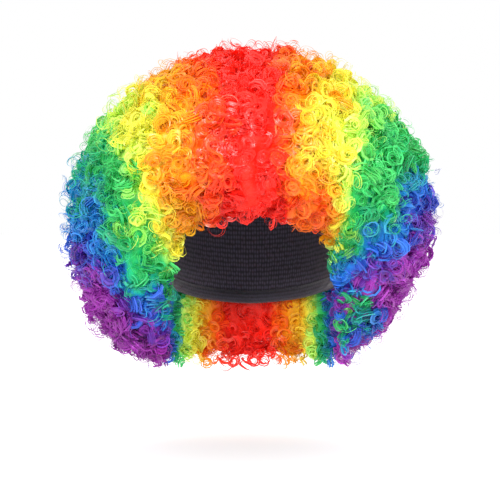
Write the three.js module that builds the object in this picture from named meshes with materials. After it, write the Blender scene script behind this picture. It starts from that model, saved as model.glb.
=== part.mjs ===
// Clown wig: a ball of tight curls in stripes of colour, sewn to a stretch cap with an elastic edge.
// Millimetres, +Z up. The origin is the inside of the cap's crown, where the head carries the wig.
// The face looks along -Y, and +X is the wearer's left.

import * as THREE from "three";
import { mergeVertices } from "three/addons/utils/BufferGeometryUtils.js";

const { degToRad, radToDeg, lerp, clamp } = THREE.MathUtils;
const fullTurn = 360;
const quarterTurn = fullTurn / 4;

// The head that the cap fits
const headWidth = 142;
const headLength = 172;
const crownRise = 75; // from the head's widest level up to its crown
const napeTaper = 130; // how far below the widest level the head's sides would close

// The cap and its elastic binding
const capWall = 1.6;
const capDrop = 138; // from the crown down to the edge at the nape
const bandHeight = 8;
const bandWall = 0.9;
const bandClearance = 0.3;

// The outer form of the hair
const wigWidth = 300;
const fringeReach = 133; // from the crown's axis forward to the fringe
const backReach = 156; // from the crown's axis back to the curls behind
const crownHair = 73; // height of the curls above the crown
const hairDrop = 190; // from the crown down to the ends of the curls at the nape
const edgeClearance = 9.5; // between the forehead and the curls that hang past the cap's edge

// How the hair sits on the cap and divides into locks
const seamClearance = 1.2; // between the cap and the backing of a stripe
const partingGap = 0.7; // between two stripes
const backingShare = 0.66; // how far the backing fills the depth of the hair
const lockRows = 16; // locks along a stripe, from the face to the nape

// Sections round the cap, by azimuth from the front in degrees. rim is the cap's edge as a share of capDrop,
// ends the tips of the curls as a share of hairDrop, belly the level of the widest curls, also of hairDrop, and hang
// how far outside the head's widest plan the curls hang past the edge, as a share of edgeClearance.
const SECTIONS = [
  { azimuth: 0, rim: 0.33, ends: 0.36, belly: 0.08, hang: 1 },
  { azimuth: 25, rim: 0.34, ends: 0.38, belly: 0.1, hang: 1 },
  { azimuth: 35, rim: 0.38, ends: 0.42, belly: 0.13, hang: 1 },
  { azimuth: 45, rim: 0.46, ends: 0.51, belly: 0.18, hang: 0.85 },
  { azimuth: 52, rim: 0.55, ends: 0.63, belly: 0.23, hang: 0.6 },
  { azimuth: 58, rim: 0.64, ends: 0.76, belly: 0.28, hang: 0.42 },
  { azimuth: 66, rim: 0.73, ends: 0.88, belly: 0.33, hang: 0.4 },
  { azimuth: 76, rim: 0.8, ends: 0.94, belly: 0.36, hang: 0.4 },
  { azimuth: 90, rim: 0.86, ends: 0.965, belly: 0.37, hang: 0.4 },
  { azimuth: 120, rim: 0.91, ends: 0.98, belly: 0.37, hang: 0.2 },
  { azimuth: 150, rim: 0.97, ends: 0.99, belly: 0.37, hang: -0.3 },
  { azimuth: 180, rim: 1, ends: 1, belly: 0.37, hang: -0.5 },
];

// Partings on one side, from the centre line outwards. front, brow, rear and back are azimuths in degrees, and bend
// and side are shares of the way from the crown to the cap's edge. A parting starts on the edge at front, passes brow
// at the share bend, the side of the head at the share side and rear at the share bend, and ends on the edge at back.
const PARTINGS = [
  { front: 0, brow: 0, bend: 0.6, side: 0, rear: 180, back: 180 },
  { front: 19, brow: 13, bend: 0.6, side: 0.21, rear: 166, back: 163 },
  { front: 43, brow: 30, bend: 0.62, side: 0.305, rear: 150, back: 150 },
  { front: 52, brow: 43, bend: 0.64, side: 0.4, rear: 137, back: 138 },
  { front: 59, brow: 55, bend: 0.68, side: 0.55, rear: 125, back: 126 },
  { front: 68, brow: 64, bend: 0.78, side: 0.67, rear: 117, back: 113 },
  { front: 73, brow: 81, bend: 1, side: 1, rear: 100, back: 108 },
];

// Stripes from the centre line outwards, each between one parting and the next. columns are the locks across it, and
// stride how many of the lockRows one of its locks spans.
const STRIPES = [
  { name: "red", colour: 0xf42a23, columns: 3, stride: 1 },
  { name: "orange", colour: 0xf8872b, columns: 1, stride: 1 },
  { name: "yellow", colour: 0xe9e44a, columns: 1, stride: 1 },
  { name: "green", colour: 0x23ac58, columns: 2, stride: 1 },
  { name: "blue", colour: 0x1b5bb4, columns: 1, stride: 1 },
  { name: "purple", colour: 0x7f3aa6, columns: 2, stride: 2 },
];

// Rings of one lock, from the backing (share 0) to its tip (share 1). girth and sway are shares of the lock's room:
// its thickness, and how far it winds about its own line.
const LOCK_RINGS = [
  { share: 0.48, girth: 0.86, sway: 0.05 },
  { share: 0.88, girth: 0.66, sway: 0.16 },
];
const tipSway = 0.3;
const lockTurn = degToRad(80); // turn of that winding from ring to ring
const lockTwist = degToRad(24); // turn of a ring's corners from ring to ring
const goldenAngle = degToRad(137.5);
const taperedReach = 0.8; // how much of a lock's length along the stripe keeps inside a stripe that narrows

const edgeLift = 5; // how late on its way to the edge the hair lifts over the elastic
const tipSpread = 1.4; // more keeps the curls near the crown upright and fans those near the edge downwards

// How finely the surfaces are divided
const azimuthSteps = 36;
const capRows = 6;
const lengthSamples = 60;
const mergeDistance = 1e-4;
const smallestArea = 1e-6;

// Value of a column at an azimuth, on a smooth curve through the sections
function atAzimuth(column, degrees) {
  const azimuth = degrees > fullTurn / 2 ? fullTurn - degrees : Math.abs(degrees);
  const last = SECTIONS.length - 1;
  const next = clamp(SECTIONS.findIndex((row) => row.azimuth >= azimuth), 1, last);
  const [low, high] = [SECTIONS[next - 1], SECTIONS[next]];
  const slope = (at) => {
    if (at === 0 || at === last) {
      return 0;
    }
    const [before, after] = [SECTIONS[at - 1], SECTIONS[at + 1]];
    return (after[column] - before[column]) / (after.azimuth - before.azimuth);
  };
  const span = high.azimuth - low.azimuth;
  const t = (azimuth - low.azimuth) / span;
  const ease = t * t * (3 - 2 * t);
  return (
    lerp(low[column], high[column], ease) +
    span * t * (1 - t) * ((1 - t) * slope(next - 1) - t * slope(next))
  );
}

// Radius of an oval plan at an azimuth
function planRadius(degrees, halfWidth, halfLength) {
  const azimuth = degToRad(degrees);
  return 1 / Math.hypot(Math.sin(azimuth) / halfWidth, Math.cos(azimuth) / halfLength);
}

function cylinderPoint(degrees, radius, height) {
  const azimuth = degToRad(degrees);
  return new THREE.Vector3(radius * Math.sin(azimuth), -radius * Math.cos(azimuth), height);
}

// Point on the head's surface, moved out by an offset. The tilt is 0 at the crown and a right angle at the widest
// level.
function headPoint(degrees, tilt, offset) {
  const radius = planRadius(degrees, headWidth / 2 + offset, headLength / 2 + offset);
  const rise = (Math.cos(tilt) > 0 ? crownRise : napeTaper) + offset;
  return cylinderPoint(degrees, radius * Math.sin(tilt), rise * Math.cos(tilt) - crownRise);
}

// Tilt at the cap's edge, or at a length above it along the wall
function edgeTilt(degrees, lengthAbove) {
  const rise = crownRise - atAzimuth("rim", degrees) * capDrop;
  const edge = Math.acos(rise / (rise > 0 ? crownRise : napeTaper));
  const step = 0.01;
  const lengthPerRadian = headPoint(degrees, edge, 0).distanceTo(headPoint(degrees, edge - step, 0)) / step;
  return edge - lengthAbove / lengthPerRadian;
}

// Root of a hair on the cap. The share is 0 at the crown and 1 just above the elastic, which the hair passes over.
function rootPoint(degrees, share) {
  const lowest = edgeTilt(degrees, bandHeight + seamClearance);
  const overBand = (bandClearance + bandWall + seamClearance) * Math.pow(share, edgeLift);
  return headPoint(degrees, share * lowest, capWall + seamClearance + overBand);
}

// Tip of the same hair on the outer form, which ends just outside the cap's edge
function tipPoint(degrees, share) {
  const reach = Math.abs(degrees) < quarterTurn ? fringeReach : backReach;
  const widest = planRadius(degrees, wigWidth / 2, reach);
  const level = -atAzimuth("belly", degrees) * hairDrop;
  const angle = Math.PI * Math.pow(share, tipSpread);
  if (angle < Math.PI / 2) {
    return cylinderPoint(degrees, widest * Math.sin(angle), level + (crownHair - level) * Math.cos(angle));
  }
  const clearance = atAzimuth("hang", degrees) * edgeClearance;
  const hang = planRadius(degrees, headWidth / 2 + clearance, headLength / 2 + clearance);
  const drop = level + atAzimuth("ends", degrees) * hairDrop;
  return cylinderPoint(degrees, hang + (widest - hang) * Math.sin(angle), level + drop * Math.cos(angle));
}

// Point in the hair, from its place on a flat map of the cap (crown at the centre, edge at radius 1) and its depth,
// from the roots (0) to the tips (1)
function hairPoint(place, depth) {
  const degrees = radToDeg(Math.atan2(place.x, -place.y));
  const share = place.length();
  return rootPoint(degrees, share).lerp(tipPoint(degrees, share), depth);
}

function mapPlace(degrees, share) {
  const azimuth = degToRad(degrees);
  return new THREE.Vector2(share * Math.sin(azimuth), -share * Math.cos(azimuth));
}

// Place on the map: across is 0 at a stripe's inner parting and 1 at its outer one, and along is 0 at the front. The
// middle stripe runs from -1 to 1 across.
function stripePlace(stripe, across, along) {
  const mix = (column) => lerp(stripe.inner[column], stripe.outer[column], Math.abs(across));
  const parting = new THREE.SplineCurve([
    mapPlace(mix("front"), 1),
    mapPlace(mix("brow"), mix("bend")),
    mapPlace(quarterTurn, mix("side")),
    mapPlace(mix("rear"), mix("bend")),
    mapPlace(mix("back"), 1),
  ]);
  const place = parting.getPoint(along);
  place.x *= across < 0 ? -stripe.hand : stripe.hand;
  return place;
}

// Triangles between rows of points
function sheet(rows) {
  return rows.slice(1).flatMap((row, i) =>
    row.slice(1).flatMap((point, j) => [
      [rows[i][j], rows[i][j + 1], point],
      [rows[i][j], point, row[j]],
    ]),
  );
}

function flipped(triangles) {
  return triangles.map(([a, b, c]) => [a, c, b]);
}

// Triangles of the four sides between an inner and an outer sheet, each a list of rows
function slabSides(inner, outer) {
  const last = inner.length - 1;
  const end = inner[0].length - 1;
  return [
    ...flipped(sheet(inner.map((row, i) => [row[0], outer[i][0]]))),
    ...sheet(inner.map((row, i) => [row[end], outer[i][end]])),
    ...flipped(sheet([inner[0], outer[0]])),
    ...sheet([inner[last], outer[last]]),
  ];
}

// Closed geometry from triangles, without those that close up to a line, and facing out
function closedGeometry(triangles) {
  const whole = triangles.filter(([a, b, c]) => b.clone().sub(a).cross(c.clone().sub(a)).length() > smallestArea);
  const volume = whole.reduce((sum, [a, b, c]) => sum + a.dot(b.clone().cross(c)), 0);
  const points = (volume > 0 ? whole : flipped(whole)).flat();
  return mergeVertices(new THREE.BufferGeometry().setFromPoints(points), mergeDistance);
}

function makeMesh(name, geometry, colour, roughness) {
  const mesh = new THREE.Mesh(geometry, new THREE.MeshStandardMaterial({ color: colour, roughness, metalness: 0 }));
  mesh.name = name;
  return mesh;
}

// Geometry of a profile carried round the head
function carriedRound(profileAt) {
  const rows = [];
  for (let step = 0; step <= azimuthSteps; step += 1) {
    rows.push(profileAt(((step % azimuthSteps) / azimuthSteps) * fullTurn));
  }
  return closedGeometry(sheet(rows));
}

// The cap: down its inside from the crown to the edge, and up its outside
function makeCap() {
  const shares = Array.from({ length: capRows + 1 }, (_, row) => row / capRows);
  const geometry = carriedRound((degrees) => {
    const bandTop = edgeTilt(degrees, bandHeight);
    const tilts = [...shares.map((share) => share * bandTop), edgeTilt(degrees, 0)];
    const inside = tilts.map((tilt) => headPoint(degrees, tilt, 0));
    const outside = tilts.map((tilt) => headPoint(degrees, tilt, capWall));
    return [...inside, ...outside.reverse()];
  });
  return makeMesh("cap", geometry, 0x2b2430, 0.9);
}

// The elastic: a binding folded over the cap's edge
function makeBand() {
  const legInside = -bandClearance;
  const legOutside = capWall + bandClearance;
  const geometry = carriedRound((degrees) => {
    const top = edgeTilt(degrees, bandHeight);
    const fold = edgeTilt(degrees, -bandClearance);
    const bottom = edgeTilt(degrees, -bandClearance - bandWall);
    return [
      headPoint(degrees, top, legInside),
      headPoint(degrees, fold, legInside),
      headPoint(degrees, fold, legOutside),
      headPoint(degrees, top, legOutside),
      headPoint(degrees, top, legOutside + bandWall),
      headPoint(degrees, bottom, legOutside + bandWall),
      headPoint(degrees, bottom, legInside - bandWall),
      headPoint(degrees, top, legInside - bandWall),
      headPoint(degrees, top, legInside),
    ];
  });
  return makeMesh("elastic_band", geometry, 0x1d1a22, 0.8);
}

// Shares along the partings that lie evenly spaced on the outer form, measured along one of them
function evenStations(parting) {
  const line = { inner: parting, outer: parting, hand: 1 };
  const points = Array.from({ length: lengthSamples + 1 }, (_, sample) =>
    hairPoint(stripePlace(line, 0, sample / lengthSamples), 1),
  );
  const lengths = [0];
  for (let sample = 1; sample <= lengthSamples; sample += 1) {
    lengths.push(lengths[sample - 1] + points[sample].distanceTo(points[sample - 1]));
  }
  return Array.from({ length: lockRows + 1 }, (_, row) => {
    const target = (row / lockRows) * lengths[lengthSamples];
    const sample = clamp(lengths.findIndex((length) => length >= target), 1, lengthSamples);
    const part = (target - lengths[sample - 1]) / (lengths[sample] - lengths[sample - 1]);
    return (sample - 1 + part) / lengthSamples;
  });
}

const middleParting = PARTINGS[Math.floor(PARTINGS.length / 2)];
const stations = evenStations(middleParting);

// Rows of points across a stripe at one depth, two for each lock, kept clear of the stripes beside it
function stripeSheet(stripe, depth) {
  const cells = stripe.columns * 2;
  return stations.map((along) => {
    const points = Array.from({ length: cells + 1 }, (_, cell) =>
      hairPoint(stripePlace(stripe, lerp(stripe.start, 1, cell / cells), along), depth),
    );
    const inwards = points[1].clone().sub(points[0]).setLength(partingGap / 2);
    const outwards = points[cells].clone().sub(points[cells - 1]).setLength(partingGap / 2);
    points[0].add(inwards);
    points[cells].sub(outwards);
    return points;
  });
}

// Outline of a lock's foot on the backing, from the middle of its front side round to it again
function footOutline(backing, column, row, stride) {
  const [left, middle, right] = [2 * column, 2 * column + 1, 2 * column + 2];
  const rows = Array.from({ length: stride + 1 }, (_, step) => backing[row + step]);
  return [
    rows[0][middle],
    ...rows.map((points) => points[right]),
    rows[stride][middle],
    ...rows.map((points) => points[left]).reverse(),
    rows[0][middle],
  ];
}

// Triangles of one lock: a tapered ringlet that rises from its foot and winds about its own line
function lockTriangles(stripe, backing, column, row, phase) {
  const foot = footOutline(backing, column, row, stripe.stride);
  const sides = foot.length - 1;
  const halfAcross = (1 - stripe.start) / stripe.columns / 2;
  const across = stripe.start + (2 * column + 1) * halfAcross;
  const [from, to] = [stations[row], stations[row + stripe.stride]];
  const [along, halfAlong] = [(from + to) / 2, (to - from) / 2];
  const at = (acrossShift, alongShift, depth) =>
    hairPoint(stripePlace(stripe, across + acrossShift * halfAcross, along + alongShift * halfAlong), depth);
  const swayed = (share, sway, ring) => {
    const depth = lerp(backingShare, 1, share);
    const widths = [-taperedReach, 0, taperedReach].map((shift) => at(1, shift, depth).sub(at(-1, shift, depth)));
    const wide = widths.reduce((narrow, width) => (width.length() < narrow.length() ? width : narrow));
    const long = at(0, 1, depth).sub(at(0, -1, depth));
    const squareness = wide.clone().cross(long).length() / (wide.length() * long.length());
    wide.multiplyScalar(squareness / 2);
    long.multiplyScalar(squareness / 2);
    const wind = phase + ring * lockTurn;
    const centre = at(0, 0, depth)
      .addScaledVector(wide, sway * Math.cos(wind))
      .addScaledVector(long, sway * Math.sin(wind));
    return { centre, wide, long };
  };
  const rings = LOCK_RINGS.map(({ share, girth, sway }, ring) => {
    const { centre, wide, long } = swayed(share, sway, ring);
    return foot.map((_, corner) => {
      const angle = ((corner % sides) * 2 * Math.PI) / sides - Math.PI / 2 + (ring + 1) * lockTwist;
      return centre
        .clone()
        .addScaledVector(wide, girth * Math.cos(angle))
        .addScaledVector(long, girth * Math.sin(angle));
    });
  });
  const { centre: tip } = swayed(1, tipSway, LOCK_RINGS.length);
  return flipped(sheet([foot, ...rings, foot.map(() => tip)]));
}

// Hair of one stripe: a backing that follows the cap, with locks grown from it in one solid
function makeHair(stripe) {
  const inner = stripeSheet(stripe, 0);
  const backing = stripeSheet(stripe, backingShare);
  const locks = [];
  for (let column = 0; column < stripe.columns; column += 1) {
    for (let row = 0; row < lockRows; row += stripe.stride) {
      locks.push(...lockTriangles(stripe, backing, column, row, (row + column * lockRows) * goldenAngle));
    }
  }
  const geometry = closedGeometry([...sheet(inner), ...slabSides(inner, backing), ...locks]);
  return makeMesh(stripe.node, geometry, stripe.colour, 0.55);
}

const wig = new THREE.Group();
wig.add(makeCap(), makeBand());
STRIPES.forEach((stripe, index) => {
  const [inner, outer] = [PARTINGS[index], PARTINGS[index + 1]];
  if (index === 0) {
    wig.add(makeHair({ ...stripe, inner, outer, start: -1, hand: 1, node: `hair_${stripe.name}` }));
    return;
  }
  wig.add(makeHair({ ...stripe, inner, outer, start: 0, hand: 1, node: `hair_${stripe.name}_left` }));
  wig.add(makeHair({ ...stripe, inner, outer, start: 0, hand: -1, node: `hair_${stripe.name}_right` }));
});

export default wig;
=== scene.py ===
# Looks of the clown wig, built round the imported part. Metres in Blender, millimetres in the functions below.
# +Z is up, the face looks along -Y, and +X is the wearer's left.
import math

import bpy
import numpy as np
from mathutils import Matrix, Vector


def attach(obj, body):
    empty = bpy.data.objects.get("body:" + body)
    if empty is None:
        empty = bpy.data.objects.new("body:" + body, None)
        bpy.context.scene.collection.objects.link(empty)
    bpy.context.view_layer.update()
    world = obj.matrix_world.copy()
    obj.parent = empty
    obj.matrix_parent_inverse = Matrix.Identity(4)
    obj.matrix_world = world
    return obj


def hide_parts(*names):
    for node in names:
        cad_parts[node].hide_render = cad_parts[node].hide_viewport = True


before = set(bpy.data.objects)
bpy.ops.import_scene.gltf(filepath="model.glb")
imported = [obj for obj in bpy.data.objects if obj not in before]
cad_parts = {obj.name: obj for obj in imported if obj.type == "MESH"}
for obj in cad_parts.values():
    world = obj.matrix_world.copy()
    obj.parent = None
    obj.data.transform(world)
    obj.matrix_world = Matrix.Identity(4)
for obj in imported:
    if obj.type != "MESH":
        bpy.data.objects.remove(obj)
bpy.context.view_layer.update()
rng = np.random.default_rng(seed=11)
MM = 0.001

# The head and the cap, in millimetres, as in the part
HEAD_WIDTH = 142
HEAD_LENGTH = 172
CROWN_RISE = 75
NAPE_TAPER = 130
CAP_WALL = 1.6
CAP_DROP = 138
BAND_HEIGHT = 8
BAND_WALL = 0.9
BAND_CLEARANCE = 0.3

# The outer form of the hair, in millimetres, as in the part
WIG_WIDTH = 300
FRINGE_REACH = 133
BACK_REACH = 156
CROWN_HAIR = 73
HAIR_DROP = 190
EDGE_CLEARANCE = 9.5
SEAM_CLEARANCE = 1.2
EDGE_LIFT = 5
TIP_SPREAD = 1.4

# Sections round the cap: degrees from the front, the cap's edge as a share of CAP_DROP, the curls' ends and
# widest level as shares of HAIR_DROP, and how far outside the head the ends hang, in EDGE_CLEARANCE
SECTION_COLUMNS = ("azimuth", "rim", "ends", "belly", "hang")
SECTIONS = np.array([
    (0, 0.33, 0.36, 0.08, 1),
    (25, 0.34, 0.38, 0.1, 1),
    (35, 0.38, 0.42, 0.13, 1),
    (45, 0.46, 0.51, 0.18, 0.85),
    (52, 0.55, 0.63, 0.23, 0.6),
    (58, 0.64, 0.76, 0.28, 0.42),
    (66, 0.73, 0.88, 0.33, 0.4),
    (76, 0.8, 0.94, 0.36, 0.4),
    (90, 0.86, 0.965, 0.37, 0.4),
    (120, 0.91, 0.98, 0.37, 0.2),
    (150, 0.97, 0.99, 0.37, -0.3),
    (180, 1, 1, 0.37, -0.5),
], dtype=float)

# Partings on one side, from the centre line outwards. Columns: azimuth at the edge in front, azimuth at the
# brow, share of the way from crown to edge at brow and rear, that share above the ear, azimuth at the rear,
# azimuth at the edge behind
PARTINGS = np.array([
    (0, 0, 0.6, 0, 180, 180),
    (19, 13, 0.6, 0.21, 166, 163),
    (43, 30, 0.62, 0.305, 150, 150),
    (52, 43, 0.64, 0.4, 137, 138),
    (59, 55, 0.68, 0.55, 125, 126),
    (68, 64, 0.78, 0.67, 117, 113),
    (73, 81, 1, 1, 100, 108),
], dtype=float)

STRIPES = ("red", "orange", "yellow", "green", "blue", "purple")

# Colours along the stripes, from the middle of the red one (0) outwards, in sRGB
HAIR_COLOURS = np.array([
    (0.0, 250, 40, 26),
    (0.7, 250, 44, 24),
    (1.02, 253, 96, 28),
    (1.5, 250, 134, 16),
    (1.95, 248, 184, 26),
    (2.3, 244, 231, 66),
    (2.7, 228, 246, 108),
    (2.98, 168, 232, 106),
    (3.2, 70, 200, 108),
    (3.55, 26, 180, 90),
    (3.85, 22, 172, 132),
    (4.05, 28, 146, 200),
    (4.35, 28, 106, 204),
    (4.6, 58, 78, 190),
    (4.85, 116, 54, 176),
    (5.2, 166, 50, 178),
    (6.0, 164, 52, 172),
])
BLEND = 0.22  # how far the colours wander over the partings, in stripes
BLEND_SCALE = 0.55  # how fine that is, against the lumps
OWN_SHADE = 0.11  # how far a ringlet's colour lies off its place's, in stripes


def linear(colour):
    """Linear light values of an sRGB colour given from 0 to 255."""
    share = np.asarray(colour, dtype=float) / 255
    return np.where(share <= 0.04045, share / 12.92, ((share + 0.055) / 1.055) ** 2.4)


COLOUR_VALUES = linear(HAIR_COLOURS[:, 1:])


def hair_colour(place):
    """Colour of the hair at places across the stripes."""
    return np.stack([np.interp(place, HAIR_COLOURS[:, 0], values) for values in COLOUR_VALUES.T], axis=-1)


def eased(value, low, high):
    """Smooth step from 0 to 1."""
    t = np.clip((value - low) / (high - low), 0, 1)
    return t * t * (3 - 2 * t)


def window(value, places):
    """Smooth rise from 0 to 1 between the first two places, and fall between the last two."""
    return eased(value, *places[:2]) * (1 - eased(value, *places[2:]))


# Where the dyed bands lie further out (+) or in (-) than the partings, as they aren't the same on both sides:
# by how many stripes, from where to where across (towards the wearer's left) and down from the crown, in
# millimetres. The rows of FACE_SHIFTS count only in front.
FAR = 400
NO_START = (-FAR - 1, -FAR)
NO_END = (FAR, FAR + 1)
FRONT_FADE = (-20, 20)
BAND_SHIFTS = (
    (0.3, (4, 34, 52, 75), (*NO_START, 22, 66)),
    (0.45, (4, 34, 92, 120), (*NO_START, 22, 66)),
    (0.3, (60, 90, *NO_END), (75, 100, *NO_END)),
    (0.14, (60, 90, *NO_END), (100, 125, *NO_END)),
    (0.3, (106, 122, *NO_END), (20, 45, 68, 90)),
    (-0.3, (-108, -94, -70, -52), (12, 24, 34, 50)),
    (-0.3, (-125, -112, -96, -84), (-30, -18, -2, 10)),
    (-0.25, (*NO_START, -108, -92), (40, 65, 100, 130)),
    (0.3, (*NO_START, -110, -88), (112, 138, *NO_END)),
    (0.25, (-82, -70, -32, -18), (-62, -50, -12, 6)),
    (-0.3, (-122, -108, -84, -74), (100, 110, 138, 150)),
)
FACE_SHIFTS = (
    (-0.3, (38, 46, 50, 60), (45, 66, 88, 104)),
    (0.6, (58, 72, 84, 104), (36, 50, 84, 98)),
    (0.4, (64, 74, 80, 90), (50, 62, 84, 98)),
    (-0.35, (-105, -100, -92, -84), (38, 48, 75, 90)),
    (0.45, (-90, -84, -46, -36), (52, 62, 100, 112)),
    (0.45, (-86, -76, -50, -44), (100, 110, 132, 142)),
    (0.8, (50, 62, 80, 104), (88, 100, *NO_END)),
    (0.2, (50, 60, 76, 88), (90, 100, 130, 145)),
    (-1.95, (50, 62, 98, 112), (138, 150, *NO_END)),
)


def colour_shift(points):
    """How far the dyed bands lie off the partings at points, in stripes."""
    across, down = points[..., 0], -points[..., 2]

    def total(rows):
        return sum(shift * window(across, sides) * window(down, levels) for shift, sides, levels in rows)

    return total(BAND_SHIFTS) + total(FACE_SHIFTS) * eased(-points[..., 1], *FRONT_FADE)


# The form of the hair

MOST_MOVED = 2  # times as far from the head's middle that a point moves at most


def from_front(degrees):
    """Angle from the front, from 0 to 180 degrees, the same on both sides."""
    return np.abs((degrees + 180) % 360 - 180)


def at_azimuth(column, degrees):
    """Value of a column at azimuths, on a smooth curve through the sections."""
    azimuth = from_front(degrees)
    places = SECTIONS[:, 0]
    values = SECTIONS[:, SECTION_COLUMNS.index(column)]
    slopes = np.zeros(len(places))
    slopes[1:-1] = (values[2:] - values[:-2]) / (places[2:] - places[:-2])
    upper = np.clip(np.searchsorted(places, azimuth), 1, len(places) - 1)
    span = places[upper] - places[upper - 1]
    t = (azimuth - places[upper - 1]) / span
    ease = t * t * (3 - 2 * t)
    bend = span * t * (1 - t) * ((1 - t) * slopes[upper - 1] - t * slopes[upper])
    return values[upper - 1] + (values[upper] - values[upper - 1]) * ease + bend


def plan_radius(degrees, half_width, half_length):
    """Radius at azimuths of an oval seen from above."""
    azimuth = np.radians(degrees)
    return 1 / np.hypot(np.sin(azimuth) / half_width, np.cos(azimuth) / half_length)


def cylinder_point(degrees, radius, height):
    """Point at an azimuth, a distance from the upright axis and a height."""
    azimuth = np.radians(degrees)
    parts = np.broadcast_arrays(radius * np.sin(azimuth), -radius * np.cos(azimuth), height)
    return np.stack(parts, axis=-1)


def head_point(degrees, tilt, offset):
    """Point on the head, moved out by an offset. The tilt is 0 at the crown, a right angle at its widest."""
    radius = plan_radius(degrees, HEAD_WIDTH / 2 + offset, HEAD_LENGTH / 2 + offset)
    rise = np.where(np.cos(tilt) > 0, CROWN_RISE, NAPE_TAPER) + offset
    return cylinder_point(degrees, radius * np.sin(tilt), rise * np.cos(tilt) - CROWN_RISE)


def outside_cap(points):
    """Points moved out to the elastic's outside where they would lie in the cap or the head."""
    offset = CAP_WALL + BAND_CLEARANCE + BAND_WALL
    centre = (0, 0, -CROWN_RISE)
    from_centre = points - centre
    rise = np.where(from_centre[..., 2:] > 0, CROWN_RISE, NAPE_TAPER)
    sides = np.broadcast_to((HEAD_WIDTH / 2, HEAD_LENGTH / 2), (*rise.shape[:-1], 2))
    halves = np.concatenate([sides, rise], axis=-1) + offset
    share = np.linalg.norm(from_centre / halves, axis=-1, keepdims=True)
    return centre + from_centre / np.clip(share, 1 / MOST_MOVED, 1)


def edge_tilt(degrees, length_above):
    """Tilt at the cap's edge, or at a length above it along the wall."""
    rise = CROWN_RISE - at_azimuth("rim", degrees) * CAP_DROP
    edge = np.arccos(rise / np.where(rise > 0, CROWN_RISE, NAPE_TAPER))
    step = 0.01
    moved = head_point(degrees, edge, 0) - head_point(degrees, edge - step, 0)
    return edge - length_above * step / np.linalg.norm(moved, axis=-1)


def root_point(degrees, share):
    """Point at the roots, at a share of the way from crown to edge, where it lifts over the elastic."""
    lowest = edge_tilt(degrees, BAND_HEIGHT + SEAM_CLEARANCE)
    over_band = (BAND_CLEARANCE + BAND_WALL + SEAM_CLEARANCE) * share ** EDGE_LIFT
    return head_point(degrees, share * lowest, CAP_WALL + SEAM_CLEARANCE + over_band)


def tip_point(degrees, share):
    """Point at the tips, at a share of the way from the crown to the ends at the edge."""
    reach = np.where(from_front(degrees) < 90, FRINGE_REACH, BACK_REACH)
    widest = plan_radius(degrees, WIG_WIDTH / 2, reach)
    level = -at_azimuth("belly", degrees) * HAIR_DROP
    angle = np.pi * share ** TIP_SPREAD
    upper = cylinder_point(degrees, widest * np.sin(angle), level + (CROWN_HAIR - level) * np.cos(angle))
    clearance = at_azimuth("hang", degrees) * EDGE_CLEARANCE
    hang = plan_radius(degrees, HEAD_WIDTH / 2 + clearance, HEAD_LENGTH / 2 + clearance)
    drop = level + at_azimuth("ends", degrees) * HAIR_DROP
    lower = cylinder_point(degrees, hang + (widest - hang) * np.sin(angle), level + drop * np.cos(angle))
    return np.where((angle < np.pi / 2)[..., None], upper, lower)


def stripe_place(stripe, across, along, hand):
    """Place on a flat map of the cap, at shares across and along a stripe."""
    across, along = np.broadcast_arrays(np.asarray(across, dtype=float), np.asarray(along, dtype=float))
    inner, outer = PARTINGS[stripe], PARTINGS[stripe + 1]
    front, brow, bend, side, rear, back = (
        low + (high - low) * np.abs(across) for low, high in zip(inner, outer)
    )

    def map_place(degrees, share):
        azimuth = np.radians(degrees)
        return np.stack([share * np.sin(azimuth), -share * np.cos(azimuth)], axis=-1)

    points = np.stack([
        map_place(front, 1),
        map_place(brow, bend),
        map_place(90, side),
        map_place(rear, bend),
        map_place(back, 1),
    ])
    last = len(points) - 1
    position = along * last
    knot = np.clip(np.floor(position).astype(int), 0, last)
    t = (position - knot)[..., None]

    def knot_point(index):
        return np.take_along_axis(points, np.clip(index, 0, last)[None, ..., None], axis=0)[0]

    before, low, high, after = (knot_point(knot + step) for step in (-1, 0, 1, 2))
    start_slope = (high - before) / 2
    end_slope = (after - low) / 2
    place = (
        (2 * low - 2 * high + start_slope + end_slope) * t ** 3
        + (-3 * low + 3 * high - 2 * start_slope - end_slope) * t ** 2
        + start_slope * t
        + low
    )
    place[..., 0] *= np.where(across < 0, -hand, hand)
    return place


def stripe_point(stripe, across, along, hand, depth):
    """Point in a stripe at shares across, along and from roots (0) to tips (1)."""
    place = stripe_place(stripe, across, along, hand)
    degrees = np.degrees(np.arctan2(place[..., 0], -place[..., 1]))
    share = np.hypot(place[..., 0], place[..., 1])
    root = root_point(degrees, share)
    return root + (tip_point(degrees, share) - root) * np.asarray(depth)[..., None]


def stripe_start(stripe):
    """The middle stripe runs over both sides, and the others from one parting to the next."""
    return -1 if stripe == 0 else 0


# Lumps of the outer form, where the curls gather: waves as a direction and a phase

LUMPS = (
    ((0.19, 0.07, 0.05), 0.3),
    ((-0.06, 0.2, 0.08), 1.7),
    ((0.05, -0.09, 0.21), 4.1),
    ((0.13, 0.14, -0.12), 2.6),
    ((-0.15, 0.11, 0.13), 5.2),
)
LUMP_PEAK = 1.5  # about the most that the waves add up to


def lumpiness(points):
    """Smooth bumps about 30 mm across, from about -1 to 1."""
    waves = [np.sin(points @ np.array(direction) + phase) for direction, phase in LUMPS]
    return (waves[0] * waves[1] + waves[2] * waves[3] + waves[4] * waves[0]) / LUMP_PEAK


# How much shorter than the solids the curls are, and where that sets in and is complete, in millimetres
TRIM_LOW = 12
LOW_LEFT = (50, 90)
LOW_DOWN = (95, 145)
LOW_FORWARD = (-60, 0)
TRIM_TOP = 4.5
TOP_DOWN = (-50, -5)
TRIM_LEFT = 5
TRIM_RIGHT = 2.5
SIDE_OUT = (80, 135)


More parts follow.
